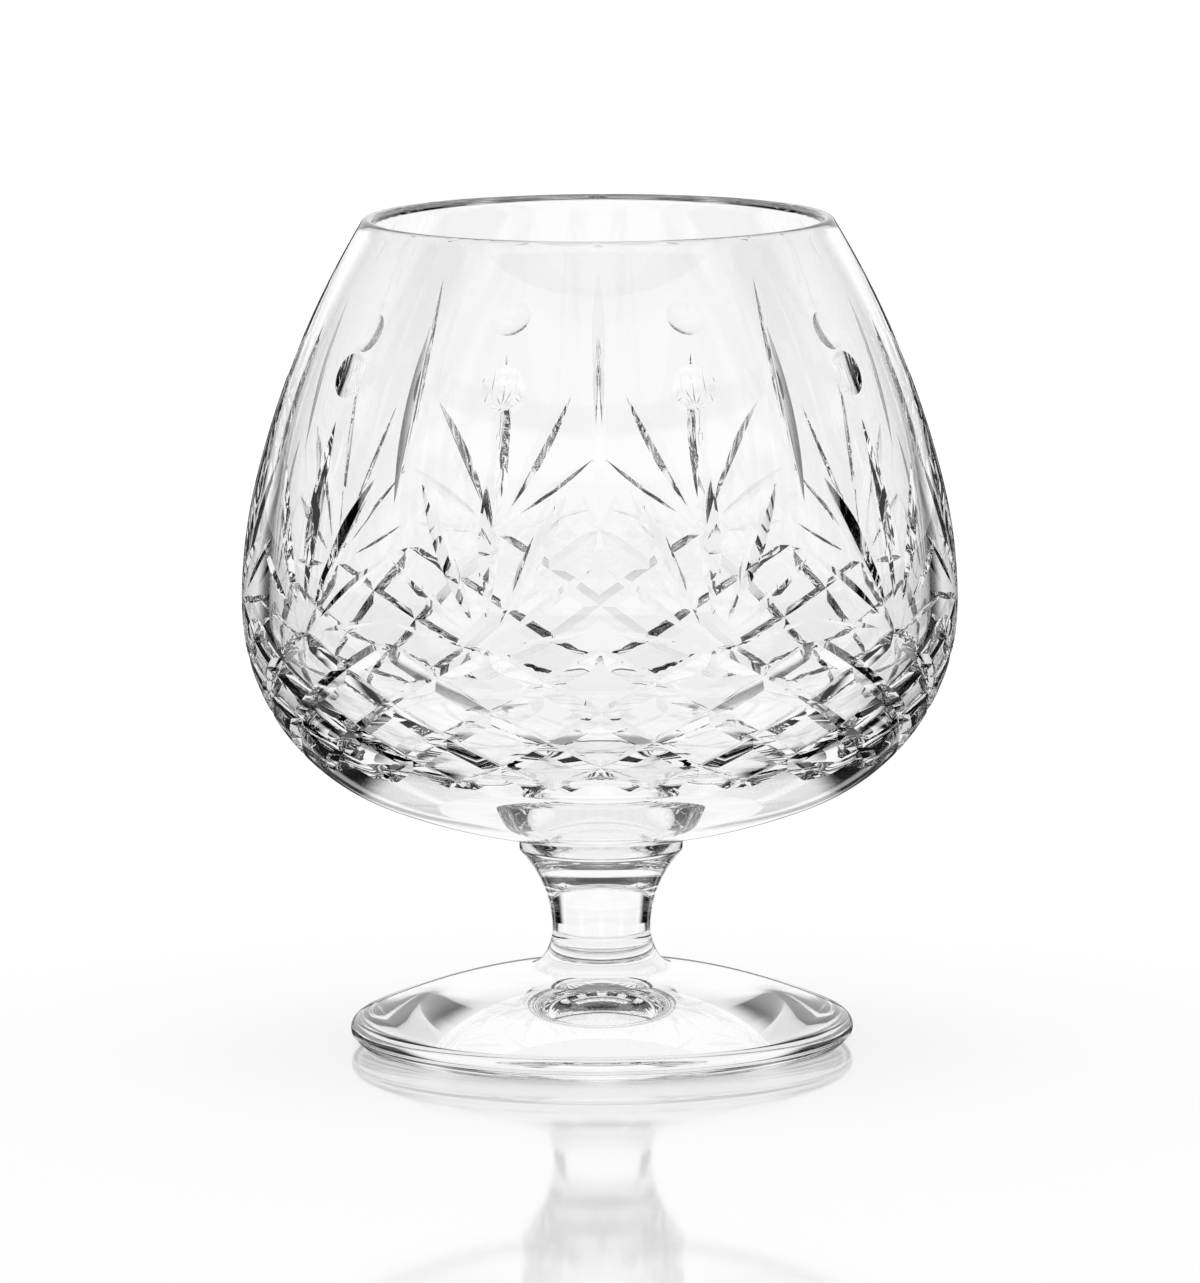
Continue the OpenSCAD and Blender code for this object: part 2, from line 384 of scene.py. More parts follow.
@dataclass
class Bowl:
    """Wide bowl before it is cut, with its sizes in mm.

    Attributes:
        overall_height: Height of the rim.
        belly_radius, belly_height: Widest ring outside.
        rim_radius: Outer radius of the lip.
        belly_wall, rim_wall: Wall at the belly, and at the rim, which the lip rounds.
        floor_height: Height of the floor inside.
        seat_radius, seat_height: Seat on the stem.
        lip_lean_share, underside_lean_share: Lean at the lip and at the seat, as shares of the
            lean of one plain arc.
        shoulder_turn_share, corner_turn_share, floor_turn_share: Share of the turn that the arc
            next to the belly takes above it, below it, and below it inside.
        underside_steps, shoulder_step, lip_step, inner_step, floor_steps: Largest turns between
            two points of the outline, in degrees.
        segments: Steps round the axis.
        upper, lower: Arcs from the belly up and down, outside.
        inner_upper, inner_lower: The same inside.
        lip: Round of the lip, from outside to inside.
    """

    overall_height: float = 125.0
    belly_radius: float = 53.8
    belly_height: float = 67.0
    rim_radius: float = 35.5
    belly_wall: float = 4.0
    rim_wall: float = 1.8
    floor_height: float = 39.0
    seat_radius: float = 12.3
    seat_height: float = 31.6
    lip_lean_share: float = 0.84
    underside_lean_share: float = 0.83
    shoulder_turn_share: float = 0.46
    corner_turn_share: float = 0.83
    floor_turn_share: float = 0.8
    underside_steps: Point2 = (1.6, 1.2)
    shoulder_step: float = 0.6
    lip_step: float = 15.0
    inner_step: float = 0.8
    floor_steps: Point2 = (2.0, 1.5)
    segments: int = 320
    upper: tuple[Arc, Arc] = field(init=False)
    lower: tuple[Arc, Arc] = field(init=False)
    inner_upper: tuple[Arc, Arc] = field(init=False)
    inner_lower: tuple[Arc, Arc] = field(init=False)
    lip: Arc = field(init=False)

    def __post_init__(self) -> None:
        """Works out the arcs of the outline from the sizes."""
        lip_radius = self.rim_wall / 2
        belly = (self.belly_radius, self.belly_height)
        inner_belly = (self.belly_radius - self.belly_wall, self.belly_height)
        inner_floor = (0.0, self.floor_height)
        centre = (self.rim_radius - lip_radius, self.overall_height - lip_radius)
        seat = (self.seat_radius, self.seat_height)
        lean = lean_of(belly, centre, self.lip_lean_share)
        self.lip = Arc(centre, lip_radius, lean, lean + math.pi)
        seat_lean = lean_of(belly, seat, self.underside_lean_share)
        self.lower = two_arcs(belly, seat, seat_lean, self.corner_turn_share)
        self.upper = two_arcs(belly, self.lip.at(lean), lean, self.shoulder_turn_share)
        inner_rim = self.lip.at(lean + math.pi)
        self.inner_upper = two_arcs(inner_belly, inner_rim, lean, self.shoulder_turn_share)
        self.inner_lower = two_arcs(inner_belly, inner_floor, math.pi / 2, self.floor_turn_share)

    def outline(self) -> list[Point2]:
        """Half section of the uncut bowl.

        Returns:
            The points from the seat round the lip to the floor inside.
        """
        floor = self.inner_lower[1].points(self.floor_steps[1])
        floor[-1] = (0.0, self.floor_height)
        return joined([
            [(0.0, self.seat_height), (self.seat_radius, self.seat_height)],
            self.lower[1].reversed().points(self.underside_steps[1]),
            self.lower[0].reversed().points(self.underside_steps[0]),
            self.upper[0].points(self.shoulder_step),
            self.upper[1].points(self.shoulder_step),
            self.lip.points(self.lip_step),
            self.inner_upper[1].reversed().points(self.inner_step),
            self.inner_upper[0].reversed().points(self.inner_step),
            self.inner_lower[0].points(self.floor_steps[0]),
            floor,
        ])

    def surface(self, climb: float, angle: float) -> tuple[Vector, Vector]:
        """Point and normal on the outside of the uncut bowl.

        Args:
            climb: Distance along the outline from the widest ring, in mm, upwards positive.
            angle: Angle round the axis, in radians.

        Returns:
            The point in mm and the unit normal.
        """
        first, second = self.upper if climb >= 0 else self.lower
        way = 1.0 if climb >= 0 else -1.0
        beyond = abs(climb) - first.length
        if beyond <= 0:
            turn, arc = way * abs(climb) / first.radius, first
        else:
            turn, arc = way * (abs(first.end) + beyond / second.radius), second
        radius, height = arc.at(turn)
        outward = Vector((math.cos(angle), math.sin(angle), 0.0))
        point = outward * radius + Vector((0.0, 0.0, height))
        return point, outward * math.cos(turn) + Vector((0.0, 0.0, math.sin(turn)))

    def climb_at(self, height: float, halvings: int = 60) -> float:
        """Distance along the outline from the widest ring to a height.

        Args:
            height: The height, in mm.
            halvings: Number of times that the search halves its range.

        Returns:
            The distance in mm, upwards positive.
        """
        low = -self.lower[0].length - self.lower[1].length
        high = self.upper[0].length + self.upper[1].length
        for _ in range(halvings):
            middle = (low + high) / 2
            if self.surface(middle, 0.0)[0].z < height:
                low = middle
            else:
                high = middle
        return (low + high) / 2


def bridge(work: Work, rings: Sequence[Ring]) -> None:
    """Skins a row of equal rings and closes both ends.

    Args:
        work: Work that holds the rings.
        rings: The rings, in order.
    """
    for one, other in zip(rings, rings[1:]):
        for i in range(len(one)):
            j = (i + 1) % len(one)
            work.faces.new((one[i], one[j], other[j], other[i]))
    work.faces.new(tuple(reversed(rings[0])))
    work.faces.new(tuple(rings[-1]))


def plain_mesh(name: str, work: Work) -> Mesh:
    """Mesh of finished work.

    Args:
        name: Name of the mesh.
        work: The work, which is freed.

    Returns:
        The mesh.
    """
    mesh = bpy.data.meshes.new(name)
    work.to_mesh(mesh)
    work.free()
    return mesh


def closed_mesh(name: str, work: Work) -> Mesh:
    """Mesh of closed cutters with all faces turned outwards.

    Args:
        name: Name of the mesh.
        work: The cutters, which are freed.

    Returns:
        The mesh, in triangles.
    """
    bmesh.ops.triangulate(work, faces=work.faces[:])
    bmesh.ops.recalc_face_normals(work, faces=work.faces[:])
    return plain_mesh(name, work)


@dataclass
class CutPattern:
    """Traditional cuts on the bowl: crossed diagonals, fans of blades, spears and round prints.

    Sizes are in mm, and angles in degrees.

    Attributes:
        bowl: Bowl that is cut.
        band_low, band_high: Heights of the edges of the crossed band.
        diamonds, rows: Diamonds round the bowl, and rows of them in the band.
        groove_depth, cross_depth: Depths of the grooves that lean right and left.
        groove_half_angle: Half of the angle between the sides of a groove.
        groove_run_out: Share of a groove's length over which each end runs out.
        run_out_clear: Height above the glass at which the wheel leaves it.
        groove_steps: Steps along a groove.
        fans: Fans round the bowl.
        fan_gap: Bare glass between the band and the blades of a fan, along the bowl.
        blade_angles, blade_lengths: Leans from upright and lengths of the blades of a fan.
        blade_half_angle: Half of the angle between the sides of a blade.
        wheel_clear: Height by which a cutter stands out of the glass.
        spear_middle, spear_length: Middle of a spear, along the bowl from the band, and length.
        print_height, print_radius, print_depth: Height of the round prints, and their size.
        print_spread: Width of a print's cutter, as a share of the print's.
        print_rings, print_sides: Steps of that cutter outwards and round.
        weld: Length below which an edge that the cuts leave is closed up.
    """

    bowl: Bowl
    band_low: float = 44.5
    band_high: float = 66.8
    diamonds: int = 20
    rows: float = 2.5
    groove_depth: float = 0.85
    cross_depth: float = 0.91
    groove_half_angle: float = 58.0
    groove_run_out: float = 0.045
    run_out_clear: float = 0.05
    groove_steps: int = 48
    fans: int = 10
    fan_gap: float = 4.6
    blade_angles: tuple[float, ...] = (-78.0, -52.0, -26.0, 0.0, 26.0, 52.0, 78.0)
    blade_lengths: tuple[float, ...] = (11.0, 15.5, 22.0, 25.0, 22.0, 15.5, 11.0)
    blade_half_angle: float = 60.0
    wheel_clear: float = 0.6
    spear_middle: float = 34.0
    spear_length: float = 20.0
    print_height: float = 104.5
    print_radius: float = 3.6
    print_depth: float = 0.7
    print_spread: float = 1.35
    print_rings: int = 16
    print_sides: int = 40
    weld: float = 0.002

    def diagonal(self, lean: Lean) -> Mesh:
        """Cutter for one long groove across the crossed band, a wheel's edge along a circle.

        Args:
            lean: Way that the groove leans.

        Returns:
            The cutter.
        """
        low, high = self.bowl.climb_at(self.band_low), self.bowl.climb_at(self.band_high)
        sweep = lean.value * 2 * math.pi / self.diamonds * self.rows
        deep = self.groove_depth if lean is Lean.RIGHT else self.cross_depth
        places = [
            self.bowl.surface(low + (high - low) * step, sweep * (step - 1))
            for step in (0.0, 0.5, 1.0)
        ]
        one, two, three = (point - normal * deep for point, normal in places)
        first, second = two - one, three - one
        across = first.cross(second)
        reach = across.cross(first) * second.length_squared
        reach += second.cross(across) * first.length_squared
        centre = one + reach / (2 * across.length_squared)
        x, z = (two - centre).normalized(), across.normalized()
        y = z.cross(x)
        radius, out = (two - centre).length, places[1][1]
        face = math.atan2(out.dot(z), out.dot(x))
        start, end = (
            math.atan2((point - centre).dot(y), (point - centre).dot(x))
            for point in (one, three)
        )
        half = math.radians(self.groove_half_angle)
        side = (deep + self.wheel_clear) / math.cos(half)
        work = bmesh.new()
        rings: list[Ring] = []
        for i in range(self.groove_steps + 1):
            step = i / self.groove_steps
            angle = start + (end - start) * step
            leaving = max(0.0, 1.0 - min(step, 1.0 - step) / self.groove_run_out)
            lift = leaving * (deep + self.run_out_clear)
            along = x * math.cos(angle) + y * math.sin(angle)
            tip = centre + along * (radius + lift)
            corners = [tip]
            for turn in (face - half, face + half):
                corners.append(tip + (along * math.cos(turn) + z * math.sin(turn)) * side)
            rings.append([work.verts.new(corner * MM) for corner in corners])
        bridge(work, rings)
        return closed_mesh(f"diagonal_{lean.name.lower()}", work)

    def blade(self, work: Work, out: float, lean: float, length: float) -> None:
        """Adds the cutter of one straight blade, as deep as its length needs on the round bowl.

        Args:
            work: Cutter that takes the blade.
            out: Middle of the blade, as a way along the bowl from the upper edge of the band.
            lean: Lean of the blade from upright, in radians.
            length: Length of the cut, half of its cutter's.
        """
        climb = self.bowl.climb_at(self.band_high) + out * math.cos(lean)
        reach = self.bowl.surface(climb, 0.0)[0].x
        point, normal = self.bowl.surface(climb, out * math.sin(lean) / reach)
        around = Vector((0.0, 0.0, 1.0)).cross(normal).normalized()
        way = normal.cross(around) * math.cos(lean) + around * math.sin(lean)
        bend = math.cos(lean) ** 2 / self.bowl.upper[0].radius
        bend += math.sin(lean) ** 2 * math.hypot(normal.x, normal.y) / reach
        deep = length ** 2 * bend / 8  # the rise of an arc over a chord of that length
        tall = deep + self.wheel_clear
        high = normal * tall
        side = normal.cross(way) * tall * math.tan(math.radians(self.blade_half_angle))
        rings: list[Ring] = []
        for end in (-length, length):
            tip = point - normal * deep + way * end
            corners = (tip, tip + high - side, tip + high + side)
            rings.append([work.verts.new(corner * MM) for corner in corners])
        bridge(work, rings)

    def fan(self) -> Mesh:
        """Cutter for one fan of straight blades.

        Returns:
            The cutter, on the side of +X.
        """
        work = bmesh.new()
        for degrees, length in zip(self.blade_angles, self.blade_lengths):
            self.blade(work, self.fan_gap + length / 2, math.radians(degrees), length)
        return closed_mesh("fan", work)

    def spear(self) -> Mesh:
        """Cutter for one upright blade between two fans.

        Returns:
            The cutter, on the side of +X.
        """
        work = bmesh.new()
        self.blade(work, self.spear_middle, 0.0, self.spear_length)
        return closed_mesh("spear", work)

    def print_cut(self) -> Mesh:
        """Cutter for one round print, a shallow bowl ground by a narrow wheel.

        Returns:
            The cutter, on the side of +X.
        """
        point, normal = self.bowl.surface(self.bowl.climb_at(self.print_height), 0.0)
        ball = (self.print_radius ** 2 + self.print_depth ** 2) / (2 * self.print_depth)
        work = bmesh.new()
        spread = math.asin(self.print_radius / ball) * self.print_spread
        place = Matrix.Translation((point + normal * (ball - self.print_depth)) * MM)
        turn = (-normal).to_track_quat("Z", "Y").to_matrix().to_4x4()
        rings: list[Ring] = []
        tip = work.verts.new((0.0, 0.0, ball * MM))
        sides = range(self.print_sides)
        rounds = [2 * math.pi * i / self.print_sides for i in sides]
        for i in range(1, self.print_rings + 1):
            tilt = spread * i / self.print_rings
            wide, high = ball * MM * math.sin(tilt), ball * MM * math.cos(tilt)
            rings.append([
                work.verts.new((wide * math.cos(angle), wide * math.sin(angle), high))
                for angle in rounds
            ])
        for i in sides:
            work.faces.new((tip, rings[0][i], rings[0][(i + 1) % self.print_sides]))
        for one, other in zip(rings, rings[1:]):
            for i in sides:
                j = (i + 1) % self.print_sides
                work.faces.new((one[i], other[i], other[j], one[j]))
        work.faces.new(rings[-1])
        bmesh.ops.transform(work, matrix=place @ turn, verts=work.verts[:])
        return closed_mesh("round_print", work)

    def tree(self, families: Sequence[str]) -> bpy.types.NodeTree:
        """Node tree that sets each cutter round the axis and takes all of them out of the blank.

        Args:
            families: Names of the kinds of cutter.

        Returns:
            A Geometry Nodes tree with a cutter, a count and a turn for each kind, and the glass.
        """
        tree = bpy.data.node_groups.new("cut_pattern", "GeometryNodeTree")
        sockets = tree.interface
        sockets.new_socket("Blank", in_out="INPUT", socket_type="NodeSocketGeometry")
        kinds = {"cutter": "NodeSocketObject", "copies": "NodeSocketInt", "turn": "NodeSocketFloat"}
        for family in families:
            for word, kind in kinds.items():
                sockets.new_socket(f"{family} {word}", in_out="INPUT", socket_type=kind)
        sockets.new_socket("Glass", in_out="INPUT", socket_type="NodeSocketMaterial")
        sockets.new_socket("Cut bowl", in_out="OUTPUT", socket_type="NodeSocketGeometry")
        nodes, links = tree.nodes, tree.links
        given = nodes.new("NodeGroupInput")
        result = nodes.new("NodeGroupOutput")
        cut = nodes.new("GeometryNodeMeshBoolean")
        cut.operation = "DIFFERENCE"
        cut.solver = "MANIFOLD"
        real = nodes.new("GeometryNodeRealizeInstances")
        paint = nodes.new("GeometryNodeSetMaterial")
        index = nodes.new("GeometryNodeInputIndex")
        links.new(given.outputs["Blank"], cut.inputs[0])
        for family in families:
            points = nodes.new("GeometryNodePoints")
            cutter = nodes.new("GeometryNodeObjectInfo")
            set_inputs(cutter, {"As Instance": False})
            step = nodes.new("ShaderNodeMath")
            step.operation = "DIVIDE"
            step.inputs[0].default_value = 2 * math.pi
            angle = nodes.new("ShaderNodeMath")
            angle.operation = "MULTIPLY_ADD"
            axis = nodes.new("ShaderNodeCombineXYZ")
            euler = nodes.new("FunctionNodeEulerToRotation")
            ring = nodes.new("GeometryNodeInstanceOnPoints")
            links.new(given.outputs[f"{family} copies"], points.inputs["Count"])
            links.new(given.outputs[f"{family} cutter"], cutter.inputs["Object"])
            links.new(given.outputs[f"{family} copies"], step.inputs[1])
            links.new(index.outputs["Index"], angle.inputs[0])
            links.new(step.outputs[0], angle.inputs[1])
            links.new(given.outputs[f"{family} turn"], angle.inputs[2])
            links.new(angle.outputs[0], axis.inputs["Z"])
            links.new(axis.outputs[0], euler.inputs[0])
            links.new(points.outputs[0], ring.inputs["Points"])
            links.new(cutter.outputs["Geometry"], ring.inputs["Instance"])
            links.new(euler.outputs[0], ring.inputs["Rotation"])
            links.new(ring.outputs["Instances"], cut.inputs[1])
        links.new(cut.outputs["Mesh"], real.inputs["Geometry"])
        links.new(real.outputs["Geometry"], paint.inputs["Geometry"])
        links.new(given.outputs["Glass"], paint.inputs["Material"])
        links.new(paint.outputs["Geometry"], result.inputs["Cut bowl"])
        return tree

    def cut(self, blank: Piece, glass: Material) -> Mesh:
        """Takes the whole pattern out of the blank.

        Args:
            blank: The uncut bowl.
            glass: Finish of the cut bowl.

        Returns:
            The cut bowl as a plain mesh.
        """
        families: dict[str, tuple[Mesh, int, float]] = {
            "Right diagonal": (self.diagonal(Lean.RIGHT), self.diamonds, 0.0),
            "Left diagonal": (self.diagonal(Lean.LEFT), self.diamonds, 0.0),
            "Fan": (self.fan(), self.fans, 0.0),
            "Spear": (self.spear(), self.fans, math.pi / self.fans),
            "Print": (self.print_cut(), self.fans, 0.0),
        }
        cutters = {
            name: new_piece(f"cutter_{mesh.name}", mesh)
            for name, (mesh, _, _) in families.items()
        }
        modifier = blank.modifiers.new("Cut pattern", "NODES")
        modifier.node_group = self.tree(list(families))
        identifiers = {
            item.name: item.identifier
            for item in modifier.node_group.interface.items_tree
            if item.item_type == "SOCKET" and item.in_out == "INPUT"
        }
        for name, (_, copies, turn) in families.items():
            modifier[identifiers[f"{name} cutter"]] = cutters[name]
            modifier[identifiers[f"{name} copies"]] = copies
            modifier[identifiers[f"{name} turn"]] = turn
        modifier[identifiers["Glass"]] = glass
        graph = bpy.context.evaluated_depsgraph_get()
        mesh = bpy.data.meshes.new_from_object(blank.evaluated_get(graph))
        blank.modifiers.remove(modifier)
        work = bmesh.new()
        work.from_mesh(mesh)
        bmesh.ops.dissolve_degenerate(work, dist=self.weld * MM, edges=work.edges[:])
        work.to_mesh(mesh)
        work.free()
        for cutter in cutters.values():
            bpy.data.objects.remove(cutter)
        return mesh


@dataclass
class CutBowl:
    """The bowl of the glass, turned and then cut.

    Attributes:
        bowl: Sizes of the uncut bowl.
    """

    bowl: Bowl = field(default_factory=Bowl)

    def build(self, glass: Material, joint: Material) -> Piece:
        """Makes the cut bowl.

        Args:
            glass: Finish of the bowl.
            joint: Finish of its seat on the stem.

        Returns:
            The finished piece.
        """
        uncut = turned_mesh("bowl_blank", self.bowl.outline(), self.bowl.segments)
        blank = new_piece("bowl_blank", uncut)
        mesh = CutPattern(self.bowl).cut(blank, glass)
        bpy.data.objects.remove(blank)
        mesh.name = "cut_bowl"
        piece = new_piece("cut_bowl", mesh)
        seat = self.bowl.seat_height * MM
        dress(piece, glass, joint, lambda face: abs(face.center.z - seat) < FLUSH)
        hand_over(piece, "bowl", "bowl_crystal")
        return piece


@dataclass
class Stem:
    """Short waisted stem under a collar with a rounded lower edge, with its sizes in mm.

    Attributes:
        collar_radius, seat_height: Top of the collar, which is the seat of the bowl.
        collar_height, collar_round: Height down to the middle of its round, and that radius.
        waist_radius, waist_height: Narrowest ring.
        joint_radius, joint_height: Joint on the foot.
        below_step, above_step, collar_step: Largest turns between two points of the outline below
            the waist, above it and round the collar, in degrees.
        segments: Steps round the axis.
    """

    collar_radius: float = 12.3
    seat_height: float = 31.6
    collar_height: float = 1.8
    collar_round: float = 1.2
    waist_radius: float = 7.45
    waist_height: float = 17.3
    joint_radius: float = 8.6
    joint_height: float = 13.3
    below_step: float = 1.5
    above_step: float = 1.0
    collar_step: float = 4.0
    segments: int = 288

    def outline(self) -> list[Point2]:
        """Half section of the stem.

        Returns:
            The points from the joint on the foot up to the seat of the bowl.
        """
        bead = (self.collar_radius - self.collar_round, self.seat_height - self.collar_height)
        across = (bead[0] - self.waist_radius, bead[1] - self.waist_height)
        flare = across[0] ** 2 + across[1] ** 2 - self.collar_round ** 2
        flare /= 2 * (self.collar_round + across[0])
        centre = (self.waist_radius + flare, self.waist_height)
        touch = math.atan2(bead[1] - centre[1], bead[0] - centre[0])
        inset = self.joint_radius - self.waist_radius
        drop = self.waist_height - self.joint_height
        hollow = (inset ** 2 + drop ** 2) / (2 * inset)
        below = (self.waist_radius + hollow, self.waist_height)
        foot_end = math.atan2(self.joint_height - below[1], self.joint_radius - below[0])
        return joined([
            [(0.0, self.joint_height)],
            Arc(below, hollow, foot_end % (2 * math.pi), math.pi).points(self.below_step),
            Arc(centre, flare, math.pi, touch).points(self.above_step),
            Arc(bead, self.collar_round, touch - math.pi, 0.0).points(self.collar_step),
            [(self.collar_radius, self.seat_height), (0.0, self.seat_height)],
        ])

    def build(self, glass: Material, joint: Material) -> Piece:
        """Makes the stem.

        Args:
            glass: Finish of the stem.
            joint: Finish of its two ends.

        Returns:
            The finished piece.
        """
        piece = new_piece("stem_spool", turned_mesh("stem_spool", self.outline(), self.segments))
        ends = (self.joint_height * MM, self.seat_height * MM)
        dress(
            piece, glass, joint,
            lambda face: min(abs(face.center.z - end) for end in ends) < FLUSH,
        )
        hand_over(piece, "stem", "stem_crystal")
        return piece


@dataclass
class Foot:
    """Domed round foot with a dished underside that stands on a ring, with its sizes in mm.

    Attributes:
        radius, edge_height: Widest ring.
        neck_radius, neck_height: Where the dome meets the hollow under the stem.
        joint_radius, joint_height: Joint with the stem.
        ring_radius, ring_width: Standing ring, from its outer edge inwards.
        dish_depth: Depth of the dish inside the ring.
        dome_lean_share, edge_lean_share: Lean at the neck and at the ring, as shares of the lean
            of one plain arc.
        dome_turn_share, edge_turn_share: Share of the turn that the arc next to the widest ring
            takes above it and below it.
        dish_step, edge_step, dome_steps, hollow_step: Largest turns between two points of the
            outline, in degrees.
        segments: Steps round the axis.
    """

    radius: float = 37.9
    edge_height: float = 2.3
    neck_radius: float = 11.5
    neck_height: float = 11.4
    joint_radius: float = 8.6
    joint_height: float = 13.3
    ring_radius: float = 35.2
    ring_width: float = 2.4
    dish_depth: float = 2.0
    dome_lean_share: float = 0.58
    edge_lean_share: float = 0.83
    dome_turn_share: float = 0.79
    edge_turn_share: float = 0.5
    dish_step: float = 0.35
    edge_step: float = 4.0
    dome_steps: Point2 = (2.0, 0.8)
    hollow_step: float = 2.0
    segments: int = 360

    def outline(self) -> list[Point2]:
        """Half section of the foot.

        Returns:
            The points from the middle of its dish round the edge to the joint.
        """
        edge, ring = (self.radius, self.edge_height), (self.ring_radius, 0.0)
        neck = (self.neck_radius, self.neck_height)
        joint = (self.joint_radius, self.joint_height)
        dome_lean = lean_of(edge, neck, self.dome_lean_share)
        dome = two_arcs(edge, neck, dome_lean, self.dome_turn_share)
        edge_lean = lean_of(edge, ring, self.edge_lean_share)
        rim = two_arcs(edge, ring, edge_lean, self.edge_turn_share)
        across = (joint[0] - neck[0], joint[1] - neck[1])
        along = (math.cos(dome_lean), math.sin(dome_lean))
        hollow = across[0] ** 2 + across[1] ** 2
        hollow /= 2 * (across[0] * along[0] + across[1] * along[1])
        centre = (neck[0] + hollow * along[0], neck[1] + hollow * along[1])
        top = math.atan2(joint[1] - centre[1], joint[0] - centre[0]) % (2 * math.pi)
        inside = self.ring_radius - self.ring_width
        curve = (inside ** 2 + self.dish_depth ** 2) / (2 * self.dish_depth)
        bottom = (0.0, self.dish_depth - curve)
        dish = Arc(bottom, curve, math.pi / 2, math.acos(inside / curve)).points(self.dish_step)
        dish[0] = (0.0, self.dish_depth)
        dish[-1] = (inside, 0.0)
        return joined([
            dish,
            [ring],
            rim[1].reversed().points(self.edge_step),
            rim[0].reversed().points(self.edge_step),
            dome[0].points(self.dome_steps[0]),
            dome[1].points(self.dome_steps[1]),
            Arc(centre, hollow, dome_lean + math.pi, top).points(self.hollow_step),
            [(0.0, self.joint_height)],
        ])

    def build(self, glass: Material, joint: Material) -> Piece:
        """Makes the foot.

        Args:
            glass: Finish of the foot.
            joint: Finish of its joint with the stem.

        Returns:
            The finished piece.
        """
        piece = new_piece("domed_foot", turned_mesh("domed_foot", self.outline(), self.segments))
        end = self.joint_height * MM
        dress(piece, glass, joint, lambda face: abs(face.center.z - end) < FLUSH)
        hand_over(piece, "foot", "foot_crystal")
        return piece


# The studio


class Formula:
    """Small sums in a node tree, written one Math node at a time."""

    def __init__(self, tree: bpy.types.NodeTree) -> None:
        """Works in the given tree."""
        self.tree = tree

    def do(self, operation: str, *values: Value) -> Socket:
        """Adds a Math node.

        Args:
            operation: Blender's name of the operation.
            values: Numbers or sockets that go into it.

        Returns:
            The socket that gives the result.
        """
        node = self.tree.nodes.new("ShaderNodeMath")
        node.operation = operation
        for i, value in enumerate(values):
            if isinstance(value, Socket):
                self.tree.links.new(value, node.inputs[i])
            else:
                node.inputs[i].default_value = value
        return node.outputs[0]

    def ease(self, value: Socket, start: float, end: float,
             low: float = 0.0, high: float = 1.0) -> Socket:
        """Adds a soft step.

        Args:
            value: What the step follows.
            start: Value at which it begins.
            end: Value at which it ends.
            low: Result before the step.
            high: Result after it.

        Returns:
            The socket that gives the result.
        """
        node = self.tree.nodes.new("ShaderNodeMapRange")
        node.interpolation_type = "SMOOTHSTEP"
        set_inputs(node, {"From Min": start, "From Max": end, "To Min": low, "To Max": high})
        self.tree.links.new(value, node.inputs["Value"])
        return node.outputs["Result"]

    def blend(self, share: Socket, one: Value, other: Value) -> Socket:
        """Adds a mix of two values: one at share 0, other at share 1."""
        back = self.less(share)
        return self.do("ADD", self.do("MULTIPLY", back, one), self.do("MULTIPLY", share, other))

    def less(self, value: Socket) -> Socket:
        """Adds what a value leaves of 1."""
        return self.do("SUBTRACT", 1.0, value)

    def place(self, coordinates: str = "Object") -> tuple[Socket, ...]:
        """Adds the place that is shaded.

        Args:
            coordinates: Output of Texture Coordinate that is read.

        Returns:
            The sockets that give X, Y and Z.
        """
        source = self.tree.nodes.new("ShaderNodeTexCoord")
        split = self.tree.nodes.new("ShaderNodeSeparateXYZ")
        self.tree.links.new(source.outputs[coordinates], split.inputs[0])
        return tuple(split.outputs)


@dataclass(frozen=True)
class Panels:
    """Ring of soft dark panels that leaves even windows and a wide one behind the glass.

    Attributes:
        front: Half of the wide window, in degrees.
        window: Half of each other window, in degrees, or None for no other windows.
        last: Angle from straight behind at which the panels end, or None for a full ring.
        first: Angle from straight behind at which the other windows start, or None for all.
        windows: Windows in a full turn.
        soft: Softness of the edges of the wide window.
        pane_soft: Softness of the edges of the others.
    """

    front: float
    window: float | None = None
    last: float | None = None
    first: float | None = None
    windows: int = 8
    soft: float = 0.05
    pane_soft: float = 0.3

    def darkness(self, sums: Formula, x: Socket, y: Socket) -> Socket:
        """Darkness of the panels at a place.

        Args:
            sums: Formula of the tree that uses them.
            x: Place along X.
            y: Place along Y.

        Returns:
            The darkness, from 0 to 1.
        """
        angle = sums.do("ARCTAN2", x, y)
        dark = self.past(sums, angle, self.front)
        if self.last is not None:
            dark = sums.do("MULTIPLY", dark, sums.less(self.past(sums, angle, self.last)))
        if self.window is not None:
            edge = math.cos(math.radians(self.windows * self.window))
            wave = sums.do("COSINE", sums.do("MULTIPLY", angle, self.windows))
            pane = sums.ease(wave, edge - self.pane_soft, edge + self.pane_soft)
            if self.first is not None:
                pane = sums.do("MULTIPLY", pane, self.past(sums, angle, self.first))
            dark = sums.do("MULTIPLY", dark, sums.less(pane))
        return dark

    def past(self, sums: Formula, angle: Socket, limit: float) -> Socket:
        """Share by which an angle from straight behind lies past a limit in degrees."""
        middle = math.cos(math.radians(limit))
        return sums.ease(sums.do("COSINE", angle), middle - self.soft, middle + self.soft, 1.0, 0.0)


LOW_PANELS = Panels(41.0, 10.0, first=66.0, soft=0.06)


